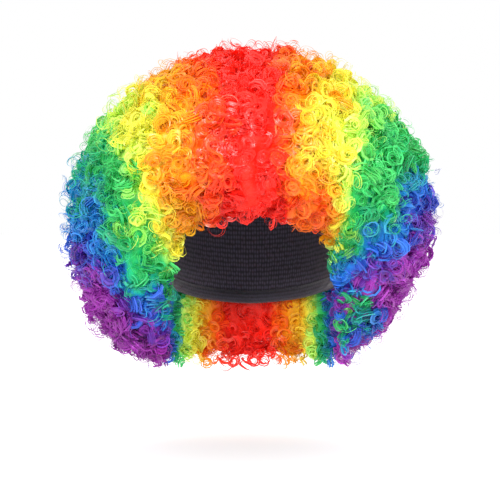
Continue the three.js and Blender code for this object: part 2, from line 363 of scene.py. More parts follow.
def trimmed(points):
    """How much shorter the curls are: low on the wearer's left, over the top and at the sides."""
    left, down = points[..., 0], -points[..., 2]
    low = TRIM_LOW * eased(left, *LOW_LEFT) * eased(down, *LOW_DOWN)
    low = low * eased(-points[..., 1], *LOW_FORWARD)
    top = TRIM_TOP * (1 - eased(down, *TOP_DOWN))
    sides = TRIM_LEFT * eased(left, *SIDE_OUT) + TRIM_RIGHT * eased(-left, *SIDE_OUT)
    return low + top + sides


def dyed(stripe, across, points, own_shade):
    """Colours at points of a stripe, with a shade of their own, in stripes further out."""
    place = stripe + np.abs(across) + lumpiness(points * BLEND_SCALE) * BLEND + own_shade
    return hair_colour(place + colour_shift(points))


def curl_colours(stripe, across, points):
    """Colours of ringlets at points, each a little off that of its place."""
    return dyed(stripe, across, points, rng.normal(0, OWN_SHADE, len(across)))


# The places of the curls

LENGTH_CELLS = 96  # cells that a stripe is measured in, along it
WIDTH_CELLS = 20  # and across each side
CURL_SPACING = 8.0
FILLER_SPACING = 10.0
CURL_CANDIDATES = 9
SHORTEST = 1e-9  # keeps from dividing by nothing


def scattered(stripe, hand):
    """Random places on a stripe's outer form, many more than fit, as (across, along)."""
    start = stripe_start(stripe)
    across = np.linspace(start, 1, WIDTH_CELLS * (1 - start) + 1)
    along = np.linspace(0, 1, LENGTH_CELLS + 1)
    grid_across, grid_along = np.meshgrid(across, along, indexing="ij")
    points = stripe_point(stripe, grid_across, grid_along, hand, 1)
    diagonal = points[1:, 1:] - points[:-1, :-1]
    other = points[1:, :-1] - points[:-1, 1:]
    area = np.linalg.norm(np.cross(diagonal, other), axis=-1) / 2
    count = int(area.sum() / CURL_SPACING ** 2 * CURL_CANDIDATES)
    cells = rng.choice(area.size, size=count, p=area.ravel() / area.sum())
    row, column = np.unravel_index(cells, area.shape)
    place_across = across[row] + rng.random(count) * (across[1] - across[0])
    place_along = along[column] + rng.random(count) * (along[1] - along[0])
    return place_across, place_along


def spaced(points, spacing):
    """Indices of points that lie at least a spacing apart, taken in order."""
    cells = {}
    kept = []
    limit = spacing * spacing
    for index, (x, y, z) in enumerate(points.tolist()):
        key = (int(x // spacing), int(y // spacing), int(z // spacing))
        near = (
            other
            for i in (-1, 0, 1)
            for j in (-1, 0, 1)
            for k in (-1, 0, 1)
            for other in cells.get((key[0] + i, key[1] + j, key[2] + k), ())
        )
        if all((x - a) ** 2 + (y - b) ** 2 + (z - c) ** 2 >= limit for a, b, c in near):
            cells.setdefault(key, []).append((x, y, z))
            kept.append(index)
    return np.array(kept)


def normalised(vectors):
    """Vectors of length 1 in the same directions."""
    return vectors / np.maximum(np.linalg.norm(vectors, axis=-1, keepdims=True), SHORTEST)


def line_length(points):
    """Length of the lines through rows of points."""
    return np.linalg.norm(np.diff(points, axis=-2), axis=-1).sum(axis=-1)


def form_frame(stripe, across, along, hand):
    """Tips, roots and outward normals of the outer form at places on a stripe."""
    step = 0.01

    def tip(at_across, at_along):
        return stripe_point(stripe, at_across, at_along, hand, 1)

    tips = tip(across, along)
    roots = stripe_point(stripe, across, along, hand, 0)
    lengthwise = tip(across, np.clip(along + step, 0, 1)) - tip(across, np.clip(along - step, 0, 1))
    crosswise = tip(np.clip(across + step, -1, 1), along) - tip(np.clip(across - step, -1, 1), along)
    normals = normalised(np.cross(crosswise, lengthwise))
    facing = np.sign(np.sum(normals * (tips - roots), axis=-1, keepdims=True))
    return tips, roots, normals * np.where(facing == 0, 1, facing)


# Strands of hair as fine strips

STRIP_EDGES = 2
MASS_SHARE = 0.65  # how far strands' normals lean to the hair's, as light through fibres evens them out
BASE_OPENING = 0.45  # share of its radius that a ringlet starts with
OPENING_RATE = 1.6  # how fast it opens to the whole, over its length
EVEN_CLOSING = 0.7  # share of the tightening that is even over the length
LATE_CLOSING = 0.3  # and share that comes near the tip
ROOT_WIDTH = 0.3  # share of its width that a strand has at the root
ROOT_WIDENING = 6
TIP_WIDTH = 0.15
TIP_WIDENING = 5


def perpendicular(axes):
    """A unit vector square to each axis, turned at random."""
    other = normalised(rng.normal(size=axes.shape))
    return normalised(np.cross(axes, other))


def tilted(axis, spread):
    """Axes turned aside at random."""
    return normalised(axis + rng.normal(0, spread, size=axis.shape))


def coil_lines(base, axis, side, length, radius, turns, phase, hand, squash, droop, steps, tighten):
    """Centre lines of ringlets: helices that open from their base and tighten towards the tip."""
    s = np.linspace(0, 1, steps)[None, :, None]
    length, radius, turns, phase, hand, squash, tighten = (
        values[:, None, None] for values in (length, radius, turns, phase, hand, squash, tighten)
    )
    side = normalised(side - axis * np.sum(side * axis, axis=-1, keepdims=True))[:, None, :]
    up = np.cross(axis[:, None, :], side) * squash
    angle = phase + hand * 2 * np.pi * turns * s
    opening = np.minimum(1, BASE_OPENING + OPENING_RATE * s)
    closing = 1 - tighten * (EVEN_CLOSING * s + LATE_CLOSING * s ** 3)
    reach = radius * opening * closing
    lines = base[:, None, :] + axis[:, None, :] * (length * s)
    lines = lines + reach * (side * np.cos(angle) + up * np.sin(angle))
    lines[..., 2] -= droop[:, None] * s[..., 0] ** 2
    return outside_cap(lines)


def strip_points(lines, axis, width, lean, facing):
    """Edges and normals of strips along lines. The lean turns the flat side from the coil's axis inwards."""
    axis, facing = axis[:, None, :], facing[:, None, :]
    width, lean = width[:, None, None], lean[:, None, None]
    tangents = normalised(np.gradient(lines, axis=1))
    along_axis = normalised(axis - tangents * np.sum(axis * tangents, axis=-1, keepdims=True))
    outwards = np.cross(tangents, along_axis)
    flat = along_axis * np.cos(lean) + outwards * np.sin(lean)
    s = np.linspace(0, 1, lines.shape[1])[None, :, None]
    from_root = np.minimum(1, ROOT_WIDTH + ROOT_WIDENING * s)
    from_tip = np.minimum(1, TIP_WIDTH + TIP_WIDENING * (1 - s))
    half = width * (from_root * from_tip) / 2
    edges = np.stack([lines - flat * half, lines + flat * half], axis=2)
    own = np.cross(flat, tangents)
    away = np.sum(own * facing, axis=-1, keepdims=True) < 0
    mass = facing * np.where(away, -1, 1)
    normals = normalised(own * (1 - MASS_SHARE) + mass * MASS_SHARE)
    return edges, np.repeat(normals[:, :, None, :], STRIP_EDGES, axis=2)


def add_object(name, data):
    """Adds an object to the scene."""
    added = bpy.data.objects.new(name, data)
    bpy.context.scene.collection.objects.link(added)
    return added


class Mesh:
    """Points, faces, tints and texture places of one piece, gathered before the mesh is made."""

    def __init__(self):
        self.points = []
        self.normals = []
        self.tints = []
        self.faces = []
        self.materials = []
        self.bake = []
        self.fibre = []
        self.groups = 0
        self.count = 0

    def add(self, points, tints, faces, bake, fibre, normals=None, material=0):
        """Adds points with tints, and four-cornered faces with two texture places for each corner.

        Bake places overlap nowhere. Fibre places run along and across the fibres, in millimetres.
        """
        self.points.append(points.reshape(-1, 3))
        self.normals.append(np.zeros_like(self.points[-1]) if normals is None else normals.reshape(-1, 3))
        self.tints.append(tints.reshape(-1, 3))
        self.faces.append(faces + self.count)
        self.materials.append(np.full(len(faces), material))
        self.bake.append(bake.reshape(-1, 2))
        self.fibre.append(fibre.reshape(-1, 2))
        self.count += len(self.points[-1])

    def build(self, name, materials):
        """Makes the object from all that was added."""
        points = (np.concatenate(self.points) * MM).astype(np.float32)
        faces = np.concatenate(self.faces)
        mesh = bpy.data.meshes.new(name)
        mesh.from_pydata(points, [], faces)
        mesh.polygons.foreach_set("material_index", np.concatenate(self.materials).astype(np.int32))
        mesh.shade_smooth()
        for layer, corners in (("OFBake", self.bake), ("Fibre", self.fibre)):
            uv = mesh.uv_layers.new(name=layer)
            uv.data.foreach_set("uv", np.concatenate(corners).astype(np.float32).ravel())
        tint = mesh.color_attributes.new("Tint", "FLOAT_COLOR", "POINT")
        colours = np.ones((len(points), 4), dtype=np.float32)
        colours[:, :3] = np.concatenate(self.tints)
        tint.data.foreach_set("color", colours.ravel())
        mesh.validate()
        mesh.normals_split_custom_set_from_vertices(np.concatenate(self.normals).tolist())
        for material in materials:
            mesh.materials.append(material)
        return add_object(name, mesh)


def faces_between(*corners):
    """Faces with four corners, from one array of point numbers for each corner."""
    return np.stack(corners, axis=-1).reshape(-1, 4)


def cell_corners(low_u, low_v, high_u, high_v):
    """Texture places of the four corners of cells, in the order of the faces' corners."""
    corners = ((low_u, low_v), (low_u, high_v), (high_u, high_v), (high_u, low_v))
    return np.stack([np.stack(np.broadcast_arrays(u, v), axis=-1) for u, v in corners], axis=-2)


def grid_cells(rows, columns, start=0, size=(1, 1)):
    """Texture places of the corners of all cells in a grid."""
    u, v = np.meshgrid(np.arange(rows) / rows, np.arange(columns) / columns, indexing="ij")
    low_u, low_v = u.ravel() * size[0] + start, v.ravel() * size[1] + start
    return cell_corners(low_u, low_v, low_u + size[0] / rows, low_v + size[1] / columns)


SHELL_SHARE = 0.22  # share of the texture square for the under-layer, the rest being the strands'
STRAND_GROUPS = 6  # rows and columns of texture fields, one for each set of strands
CELL_MARGIN = 0.1  # free border of a strand's cell, as a share of it
STREAK_STEP = 7.31  # how far a strand's streaks lie from the next one's
STREAK_RANGE = 97  # where they start again


def add_strands(mesh, edges, normals, tints, lengths, widths):
    """Adds strips given as (strand, step, edge, xyz) to a mesh, each with its own cell of the texture."""
    strands, steps = edges.shape[:2]
    index = np.arange(strands * steps * STRIP_EDGES).reshape(strands, steps, STRIP_EDGES)
    quads = faces_between(index[:, :-1, 0], index[:, :-1, 1], index[:, 1:, 1], index[:, 1:, 0])
    across_cells = math.ceil(math.sqrt(max(strands, 1)))
    cell = np.array([(1 - SHELL_SHARE) / across_cells, 1 / across_cells]) / STRAND_GROUPS
    number = np.arange(strands)
    corner = np.stack([number % across_cells, number // across_cells], axis=-1) * cell
    row, column = divmod(mesh.groups, STRAND_GROUPS)
    mesh.groups += 1
    corner = corner + (SHELL_SHARE + column * (1 - SHELL_SHARE) / STRAND_GROUPS, row / STRAND_GROUPS)
    s = np.linspace(0, 1, steps)
    unit = cell_corners(s[:-1], 0.0, s[1:], 1.0)
    bake = corner[:, None, None, :] + (CELL_MARGIN + unit * (1 - 2 * CELL_MARGIN)) * cell
    fibre = unit * np.stack([lengths, widths], axis=-1)[:, None, None, :]
    fibre[..., 1] += (number * STREAK_STEP % STREAK_RANGE)[:, None, None]
    mesh.add(edges, tints, quads, bake, fibre, normals, material=1)


# The under-layer: a dense lumpy mass that fills each stripe below its ringlets

SHELL_DEPTH = 0.83
SHELL_LUMP = 3.2
SHELL_STEP = 4.4
# Painted shade: the under-layer's colour is darkened by this share, as it lies in the shade below the ringlets
SHELL_PAINTED_SHADE = 0.8
SHELL_END = 0.012  # share of the stripe's length that it stops short at each end
SHELL_WIDTH = 0.994  # share of the stripe's width that it takes
MEASURED_ACROSS = 40  # points that a stripe is measured through
MEASURED_ALONG = 160
MEASURED_LEVELS = (0.3, 0.5, 0.7)
STREAK_BEND = 12
BEND_SCALES = (1.6, 1.3)
BEND_APART = 40

# Its places in the texture square: a field for the tube, and above that a row for each end
FIELD_START = 0.005
FIELD_SIZE = (SHELL_SHARE * 0.9, 0.96)
END_ROW_START = 0.97
END_ROW_STEP = 0.014
END_ROW_HEIGHT = 0.012


def shell_sizes(stripe, hand):
    """Numbers of points across and along an under-layer."""
    across = np.linspace(stripe_start(stripe), 1, MEASURED_ACROSS)
    along = np.linspace(0, 1, MEASURED_ALONG)
    lines = [stripe_point(stripe, across, level, hand, SHELL_DEPTH) for level in MEASURED_LEVELS]
    width = max(line_length(line) for line in lines)
    length = line_length(stripe_point(stripe, 0.5, along, hand, SHELL_DEPTH))
    return int(width / SHELL_STEP) + 2, int(length / SHELL_STEP) + 2


def shell_ends(index, columns):
    """Faces that close the ends of an under-layer, and their texture places."""
    faces = []
    places = []
    width = FIELD_SIZE[0] / columns
    low, high = slice(0, columns - 1), slice(1, columns)
    for end, line in enumerate((index[0], index[-1])):
        back = line[::-1]
        closing = faces_between(line[low], back[low], back[high], line[high])
        faces.append(closing if end == 0 else closing[:, ::-1])
        low_u = FIELD_START + np.arange(columns - 1) / columns * FIELD_SIZE[0]
        low_v = END_ROW_START + end * END_ROW_STEP
        places.append(cell_corners(low_u, low_v, low_u + width, low_v + END_ROW_HEIGHT))
    return faces, places


def add_shell(mesh, stripe, hand):
    """Adds the under-layer as a closed tube with a flat section, closed at both ends."""
    start = stripe_start(stripe)
    columns, rows = shell_sizes(stripe, hand)
    along = np.linspace(SHELL_END, 1 - SHELL_END, rows)
    grid_along, grid_across = np.meshgrid(along, np.linspace(start, 1, columns), indexing="ij")
    centre = (start + 1) / 2
    grid_across = centre + (grid_across - centre) * SHELL_WIDTH
    outer = stripe_point(stripe, grid_across, grid_along, hand, SHELL_DEPTH)
    inner = stripe_point(stripe, grid_across, grid_along, hand, 0)
    rise = lumpiness(outer) * SHELL_LUMP - trimmed(outer)
    outer = outer + normalised(outer - inner) * rise[..., None]
    loop = np.concatenate([outer, inner[:, ::-1]], axis=1)
    # Painted shade: the under-layer is darker than its dye, and its inner side, facing the head, darker again
    colours = dyed(stripe, grid_across, outer, 0) * SHELL_PAINTED_SHADE
    tints = np.concatenate([colours, colours[:, ::-1] * SHELL_PAINTED_SHADE], axis=1)
    around = loop.shape[1]
    index = np.arange(rows * around).reshape(rows, around)
    following = np.roll(index, -1, axis=1)
    quads = faces_between(index[:-1], following[:-1], following[1:], index[1:])
    end_faces, end_places = shell_ends(index, columns)
    faces = np.concatenate([quads] + end_faces)
    bake = np.concatenate([grid_cells(rows - 1, around, FIELD_START, FIELD_SIZE)] + end_places)
    run, around_run = np.indices((rows, around)) * SHELL_STEP
    streaks = np.stack([
        run + lumpiness(loop * BEND_SCALES[0]) * STREAK_BEND,
        around_run + lumpiness(loop * BEND_SCALES[1] + BEND_APART) * STREAK_BEND,
    ], axis=-1)
    mesh.add(loop, tints, faces, bake, streaks.reshape(-1, 2)[faces])


# The kinds of ringlet, in millimetres: points along a strand, strands, how far these spread, their width and
# painted shade at the root, and the ranges that each ringlet's measures are drawn from

FILLER = {
    "steps": 16, "strands": 4, "spread": 5.0, "width": 1.8, "painted_root_shade": 0.9,
    "length": (3, 8), "radius": (6.5, 9), "turns": (1.5, 2.1), "tighten": (0.5, 0.8),
}
SMALL = {
    "steps": 18, "strands": 5, "spread": 2.4, "width": 0.9, "painted_root_shade": 0.92,
    "length": (3, 10), "radius": (4.6, 9.2), "turns": (1.6, 2.4), "tighten": (0.3, 0.8),
}
LARGE = {**SMALL, "strands": 8, "spread": 4.0}
EDGE = {
    "steps": 17, "strands": 4, "spread": 3.0, "width": 1.0, "painted_root_shade": 0.8,
    "length": (3, 8), "radius": (4.2, 7.0), "turns": (1.6, 2.3), "tighten": (0.35, 0.75),
}
LOOSE = {
    "steps": 20, "strands": 2, "spread": 2.0, "width": 0.4, "painted_root_shade": 0.95,
    "length": (1, 6), "radius": (3.5, 8), "turns": (0.8, 1.6), "tighten": (0.1, 0.5),
}

# How they lie below and above the outer form, in millimetres, and the spread of their directions
LUMP_RISE = 3.5
FILLER_BELOW = (8, 12)
FILLER_TILT = 0.6
LARGE_RADIUS = 6.4  # where the small ringlets end and the large ones begin
CURL_BELOW = (0, 4)
RADIUS_BELOW = 0.75  # share of its radius that a ringlet lies deeper
CURL_OUTWARDS = 0.7  # how much the form's normal counts in its direction
CURL_BRIGHTNESS = 1.04
NEAT_SHARE = 0.6
NEAT_TILT = 0.5
WILD_TILT = 1.2
EDGE_DOWN = 0.3  # how much the way from roots to tips counts in its direction
EDGE_TILT = 0.5
LOOSE_SHARE = 0.8
LOOSE_ABOVE = (-8, 0.5)
LOOSE_TILT = 0.5

# How strands of a ringlet differ: spreads in millimetres or radians, and ranges of factors for its measures
STRAND_ASIDE = 0.3
STRAND_ALONG = 0.22  # as a share of the kind's spread
STRAND_TILT = 0.07
STRAND_PHASE = 0.22
STRAND_LENGTH = (0.9, 1.1)
STRAND_RADIUS = (0.96, 1.04)
STRAND_TURNS = (0.8, 1.15)
STRAND_WIDTH = (0.75, 1.25)
STRAND_DROOP = (0, 2.5)  # in millimetres
STRAND_LEAN = 1.0  # mean angle of the flat side, in radians
LEAN_SPREAD = 0.35
SQUASH = (0.7, 1)  # how flat a ringlet is, the same for all its strands
LEAST_RADIUS = 1.2  # in millimetres
STRAND_CONTRAST = 0.08
# Painted shade and light along a strand: darker at the root, deep in the hair, and lighter at the tip
PAINTED_TIP_LIGHT = 1.05
PAINTED_SHADE_CURVE = 0.6
# Painted highlights: one strand in so many, from the outermost inwards, is brightened and paled towards white
# as a glint
PAINTED_GLINT_EVERY = 3  # one strand in so many is brighter and paler, in colours with little red
PAINTED_GLINT_BRIGHTER = 0.35
PAINTED_GLINT_WHITE = 0.03


def strand_tints(colours, steps, painted_root_shade):
    """Colours along strands with painted shade, darker towards the root deep in the hair, and painted light at
    the tip, with some strands lighter than others at random.
    """
    s = np.linspace(0, 1, steps)[None, :, None, None]
    shade = painted_root_shade + (PAINTED_TIP_LIGHT - painted_root_shade) * s ** PAINTED_SHADE_CURVE
    own = np.exp(rng.normal(0, STRAND_CONTRAST, size=(len(colours), 1, 1, 1)))
    return np.clip(colours[:, None, None, :] * shade * own, 0, 1) * np.ones((1, 1, STRIP_EDGES, 1))


def add_curls(mesh, kind, base, axis, facing, colours, length, radius, turns, tighten):
    """Adds one ringlet at each base point: a lock of strands that run side by side."""
    count = len(base)
    steps, strands, spread = kind["steps"], kind["strands"], kind["spread"]
    phase = rng.random(count) * 2 * np.pi
    hand = rng.choice([-1.0, 1.0], size=count)
    side = perpendicular(axis)
    squash = rng.uniform(*SQUASH, count)
    without_red = 1 - colours[:, :1]
    # Painted glints: brighter, paler copies of the strand colours for the outer loops of each ringlet
    painted_glint = colours * (1 + PAINTED_GLINT_BRIGHTER * without_red) + PAINTED_GLINT_WHITE * without_red
    parts = []
    for strand in range(strands):
        own = painted_glint if (strands - 1 - strand) % PAINTED_GLINT_EVERY == 0 else colours
        offset = spread * (strand / (strands - 1) - 0.5)
        aside = rng.normal(0, STRAND_ASIDE, size=(count, 3))
        lines = coil_lines(
            base + aside + axis * rng.normal(0, spread * STRAND_ALONG, size=(count, 1)),
            tilted(axis, STRAND_TILT),
            side,
            length * rng.uniform(*STRAND_LENGTH, count),
            np.maximum(radius + offset, LEAST_RADIUS) * rng.uniform(*STRAND_RADIUS, count),
            turns * rng.uniform(*STRAND_TURNS, count),
            phase + rng.normal(0, STRAND_PHASE, count),
            hand,
            squash,
            rng.uniform(*STRAND_DROOP, count),
            steps,
            tighten,
        )
        width = kind["width"] * rng.uniform(*STRAND_WIDTH, count)
        lean = rng.normal(STRAND_LEAN, LEAN_SPREAD, count)
        edges, normals = strip_points(lines, axis, width, lean, facing)
        tints = strand_tints(own, steps, kind["painted_root_shade"])
        parts.append((edges, normals, tints, line_length(lines), width))
    add_strands(mesh, *[np.concatenate(values) for values in zip(*parts)])


def add_drawn_curls(mesh, kind, base, axis, facing, colours, length):
    """Adds ringlets with radius, turns and tightness drawn from the ranges of their kind."""
    radius, turns, tighten = (rng.uniform(*kind[key], len(base)) for key in ("radius", "turns", "tighten"))
    add_curls(mesh, kind, base, axis, facing, colours, length, radius, turns, tighten)


# The stripes' pieces: node, stripe, and hand (1 on the wearer's left)
PIECES = [("hair_red", 0, 1)] + [
    (f"hair_{STRIPES[stripe]}_{side}", stripe, hand)
    for stripe in range(1, len(STRIPES))
    for side, hand in (("left", 1), ("right", -1))
]


def curl_places():
    """Places of the outer ringlets and the fillers, thinned over the whole wig so that no parting shows.

    Each has a point, its shares across and along the stripe, and the piece's number.
    """
    candidates = []
    for number, (_, stripe, hand) in enumerate(PIECES):
        across, along = scattered(stripe, hand)
        spots = stripe_point(stripe, across, along, hand, 1)
        candidates.append(np.column_stack([spots, across, along, np.full(len(spots), number)]))
    candidates = np.concatenate(candidates)
    candidates = candidates[rng.permutation(len(candidates))]
    chosen = candidates[spaced(candidates[:, :3], CURL_SPACING)]
    # As many fillers as fit at their spacing, but at random, as the numbers are those of the reversed list
    fillers = candidates[spaced(candidates[::-1, :3], FILLER_SPACING)]
    return chosen, fillers


def on_piece(places, number):
    """Shares across the stripe, tips, ways from roots to tips and normals of the places on a piece."""
    _, stripe, hand = PIECES[number]
    mine = places[places[:, 5] == number]
    across, along = mine[:, 3], mine[:, 4]
    tips, roots, normals = form_frame(stripe, across, along, hand)
    return across, tips, normalised(tips - roots), normals


def add_fillers(mesh, number, stripe, fillers):
    """Adds wide soft loops under the outer ringlets."""
    across, tips, outwards, normals = on_piece(fillers, number)
    count = len(tips)
    axis = tilted(normalised(outwards + normals), FILLER_TILT)
    below = rng.uniform(*FILLER_BELOW, count) - lumpiness(tips) * LUMP_RISE + trimmed(tips)
    length = rng.uniform(*FILLER["length"], count)
    base = tips - outwards * below[:, None] - axis * (length / 2)[:, None]
    add_drawn_curls(mesh, FILLER, base, axis, normals, curl_colours(stripe, across, tips), length)


def add_outer_curls(mesh, number, stripe, chosen):
    """Adds the ringlets that make the outer form, small and large."""
    across, tips, outwards, normals = on_piece(chosen, number)
    count = len(tips)
    tilt = np.where(rng.random(count) < NEAT_SHARE, NEAT_TILT, WILD_TILT)
    axis = tilted(normalised(outwards + normals * CURL_OUTWARDS), tilt[:, None])
    length = rng.uniform(*SMALL["length"], count)
    radius = rng.uniform(*SMALL["radius"], count)
    below = radius * RADIUS_BELOW + rng.uniform(*CURL_BELOW, count)
    below = below - lumpiness(tips) * LUMP_RISE + trimmed(tips)
    base = tips - outwards * below[:, None] - axis * length[:, None]
    colours = curl_colours(stripe, across, tips) * CURL_BRIGHTNESS
    turns = rng.uniform(*SMALL["turns"], count)
    tighten = rng.uniform(*SMALL["tighten"], count)
    for kind, group in ((SMALL, radius < LARGE_RADIUS), (LARGE, radius >= LARGE_RADIUS)):
        parts = (part[group] for part in (base, axis, normals, colours, length, radius, turns, tighten))
        add_curls(mesh, kind, *parts)


EDGE_SPACING = 7.0
EDGE_CANDIDATES = 4
EDGE_THICKNESS = 45  # about how thick the hair is at its open sides
EDGE_DEPTHS = (0.06, 1.0)  # from roots to tips
MEASURED_DEPTH = 0.8
MEASURED_SHARES = np.linspace(0.02, 0.98, 60)[:, None]
FROM_END = 0.02
FROM_EAR = 0.03


def edge_places(stripe, hand):
    """Places on the sides of a stripe that look at the face, the neck or the ear.

    Gives points, ways out of the side, ways from roots to tips, and shares across the stripe.
    """
    start = stripe_start(stripe)
    # Each side: from where to where, across and along, and a step from it into the stripe
    sides = [((start, 0), (1, 0), (0, FROM_END)), ((start, 1), (1, 1), (0, -FROM_END))]
    if stripe == len(STRIPES) - 1:
        sides.append(((1, 0), (1, 1), (-FROM_EAR, 0)))
    found = []
    for first, last, step in np.array(sides):
        across, along = (first + MEASURED_SHARES * (last - first)).T
        length = line_length(stripe_point(stripe, across, along, hand, MEASURED_DEPTH))
        count = int(length * EDGE_THICKNESS / EDGE_SPACING ** 2 * EDGE_CANDIDATES)
        across, along = (first + rng.random(count)[:, None] * (last - first)).T
        depth = rng.uniform(*EDGE_DEPTHS, count)
        here = stripe_point(stripe, across, along, hand, depth)
        back = stripe_point(stripe, across + step[0], along + step[1], hand, depth)
        tips, roots, _ = form_frame(stripe, across, along, hand)
        found.append((here, normalised(here - back), normalised(tips - roots), across))
    return [np.concatenate(parts) for parts in zip(*found)]


def add_edge_curls(mesh, stripe, hand):
    """Adds ringlets on the sides of a stripe that no other stripe covers."""
    places = edge_places(stripe, hand)
    kept = spaced(places[0], EDGE_SPACING)
    here, normals, down, across = (values[kept] for values in places)
    axis = tilted(normalised(down * EDGE_DOWN + normals), EDGE_TILT)
    length = rng.uniform(*EDGE["length"], len(here))
    base = here - axis * (length / 2)[:, None]
    add_drawn_curls(mesh, EDGE, base, axis, normals, curl_colours(stripe, across, here), length)


def add_loose_curls(mesh, number, stripe, chosen):
    """Adds fine open loops at the outline."""
    across, tips, _, normals = on_piece(chosen[rng.random(len(chosen)) < LOOSE_SHARE], number)
    count = len(tips)
    axis = tilted(perpendicular(normals), LOOSE_TILT)
    above = rng.uniform(*LOOSE_ABOVE, count) + lumpiness(tips) * LUMP_RISE - trimmed(tips)
    base = tips + normals * above[:, None]
    colours = curl_colours(stripe, across, tips)
    length = rng.uniform(*LOOSE["length"], count)
    add_drawn_curls(mesh, LOOSE, base, axis, normals, colours, length)


# Materials

THROUGH_SHARE = 0.5  # share of the light on a strand that goes through it


def new_material(name):
    """A material, its nodes, the function that links them, and its shader."""
    material = bpy.data.materials.new(name)
    material.use_nodes = True
    nodes = material.node_tree.nodes
    return material, nodes, material.node_tree.links.new, nodes["Principled BSDF"]


def set_sockets(node, values):
    """Sets sockets of a node, given by their names."""
    for name, value in values.items():
        node.inputs[name].default_value = value


def add_node(nodes, kind, values=None):
    """Adds a node and sets its sockets."""
    node = nodes.new("ShaderNode" + kind)
    set_sockets(node, values or {})
    return node


def fibre_texture(nodes, link, kind, values, scale):
    """Texture that follows the fibres, with a scale along and across them."""
    place = add_node(nodes, "UVMap")
    place.uv_map = "Fibre"
    stretch = add_node(nodes, "Mapping", {"Scale": (*scale, 1.0)})
    link(place.outputs["UV"], stretch.inputs["Vector"])
    texture = add_node(nodes, kind, values)
    link(stretch.outputs["Vector"], texture.inputs["Vector"])
    return texture


def add_relief(nodes, link, height, shader, strength, depth):
    """Relief from a texture's output, with its depth in metres."""
    bump = add_node(nodes, "Bump", {"Strength": strength, "Distance": depth})
    link(height, bump.inputs["Height"])
    link(bump.outputs["Normal"], shader.inputs["Normal"])
    return bump


def hair_material(name, lets_light_through):
    """Curled synthetic fibre. The colour comes with the strands, and the streaks follow their length."""
    material, nodes, link, shader = new_material(name)
    tint = add_node(nodes, "Attribute")
    tint.attribute_name = "Tint"
    streak = fibre_texture(nodes, link, "TexNoise", {"Scale": 1.0, "Detail": 3.0}, scale=(0.05, 0.65))
    streak.noise_dimensions = "2D"
    noise = streak.outputs["Fac"]
    contrast = {"From Min": 0.38, "From Max": 0.62, "To Min": 0.88, "To Max": 1.12}
    shade = add_node(nodes, "MapRange", contrast)
    link(noise, shade.inputs["Value"])
    coloured = add_node(nodes, "VectorMath")
    coloured.operation = "SCALE"
    link(tint.outputs["Color"], coloured.inputs["Vector"])
    link(shade.outputs["Result"], coloured.inputs["Scale"])
    link(coloured.outputs["Vector"], shader.inputs["Base Color"])
    gloss = add_node(nodes, "MapRange", {"To Min": 0.2, "To Max": 0.38})
    link(noise, gloss.inputs["Value"])
    link(gloss.outputs["Result"], shader.inputs["Roughness"])
    add_relief(nodes, link, noise, shader, strength=0.6, depth=0.0004)
    set_sockets(shader, {"Sheen Weight": 0.05})
    if not lets_light_through:
        set_sockets(shader, {"Specular IOR Level": 0.2})
        return material
    set_sockets(shader, {"Specular IOR Level": 0.7, "Anisotropic": 0.8, "Anisotropic Rotation": 0.25})
    along = add_node(nodes, "Tangent")
    along.direction_type = "UV_MAP"
    along.uv_map = "Fibre"
    link(along.outputs["Tangent"], shader.inputs["Tangent"])
    through = add_node(nodes, "BsdfTranslucent")
    link(coloured.outputs["Vector"], through.inputs["Color"])
    both = add_node(nodes, "MixShader", {"Fac": THROUGH_SHARE})
    link(shader.outputs["BSDF"], both.inputs[1])
    link(through.outputs["BSDF"], both.inputs[2])
    link(both.outputs["Shader"], nodes["Material Output"].inputs["Surface"])
    return material


def cloth_material(name, colour, lighter, scale, strength):
    """Dark knitted net or ribbed elastic, with its threads in colour and relief."""
    material, nodes, link, shader = new_material(name)
    weave = fibre_texture(nodes, link, "TexVoronoi", {"Scale": 1.0, "Randomness": 0.25}, scale)
    weave.voronoi_dimensions = "2D"
    distance = weave.outputs["Distance"]
    mix = add_node(nodes, "Mix")
    mix.data_type = "RGBA"
    set_sockets(mix, {"A": (*linear(lighter), 1), "B": (*linear(colour), 1)})
    sharp = add_node(nodes, "MapRange", {"From Min": 0.15, "From Max": 0.55})
    link(distance, sharp.inputs["Value"])
    link(sharp.outputs["Result"], mix.inputs["Factor"])
    link(mix.outputs["Result"], shader.inputs["Base Color"])
    relief = add_relief(nodes, link, distance, shader, strength, depth=0.0005)
    relief.invert = True
    set_sockets(shader, {"Roughness": 0.85, "Sheen Weight": 0.2})
    return material


# The cap and its elastic

CAP_AROUND = 144
CAP_ROWS = 44
CROWN_START = 0.004  # share of the way to the edge where the cap's points begin
CAP_WEAVE = (480, 280)  # millimetres of weave round the cap and over both its sides
NET_COLOUR = (26, 22, 30)
NET_LIGHTER = (74, 66, 84)
WEFT_SPACING = 11.5
WEFT_HEIGHT = 0.7
WEFT_WIDTH = 0.2  # top part of the waves down the cap that stands up
WEFT_TILT = 40  # millimetres that a tilt of 1 adds to the drop
WEFT_FADE = 12  # they fade over the last twelfth of the way
MEAN_RADIUS = 90  # about how far the cap is from the head's middle
BAND_AROUND = 640
BAND_WEAVE = (560, 40)
BAND_COLOUR = (24, 21, 28)
BAND_LIGHTER = (58, 52, 66)
BAND_LIP = 0.8  # thickness of the band's upper edges, as a share of its wall
RIB_WAVES = 160
RIB_HEIGHT = 0.22


def closed_round(mesh, rows, lengths):
    """Adds a surface that closes round the head, from rows of points along its profile."""
    around, columns = rows.shape[:2]
    index = np.arange(around * columns).reshape(around, columns)
    following = np.roll(index, -1, axis=0)
    quads = faces_between(index[:, :-1], index[:, 1:], following[:, 1:], following[:, :-1])
    unit = grid_cells(around, columns - 1)
    mesh.add(rows, np.zeros_like(rows), quads, unit, unit * lengths)


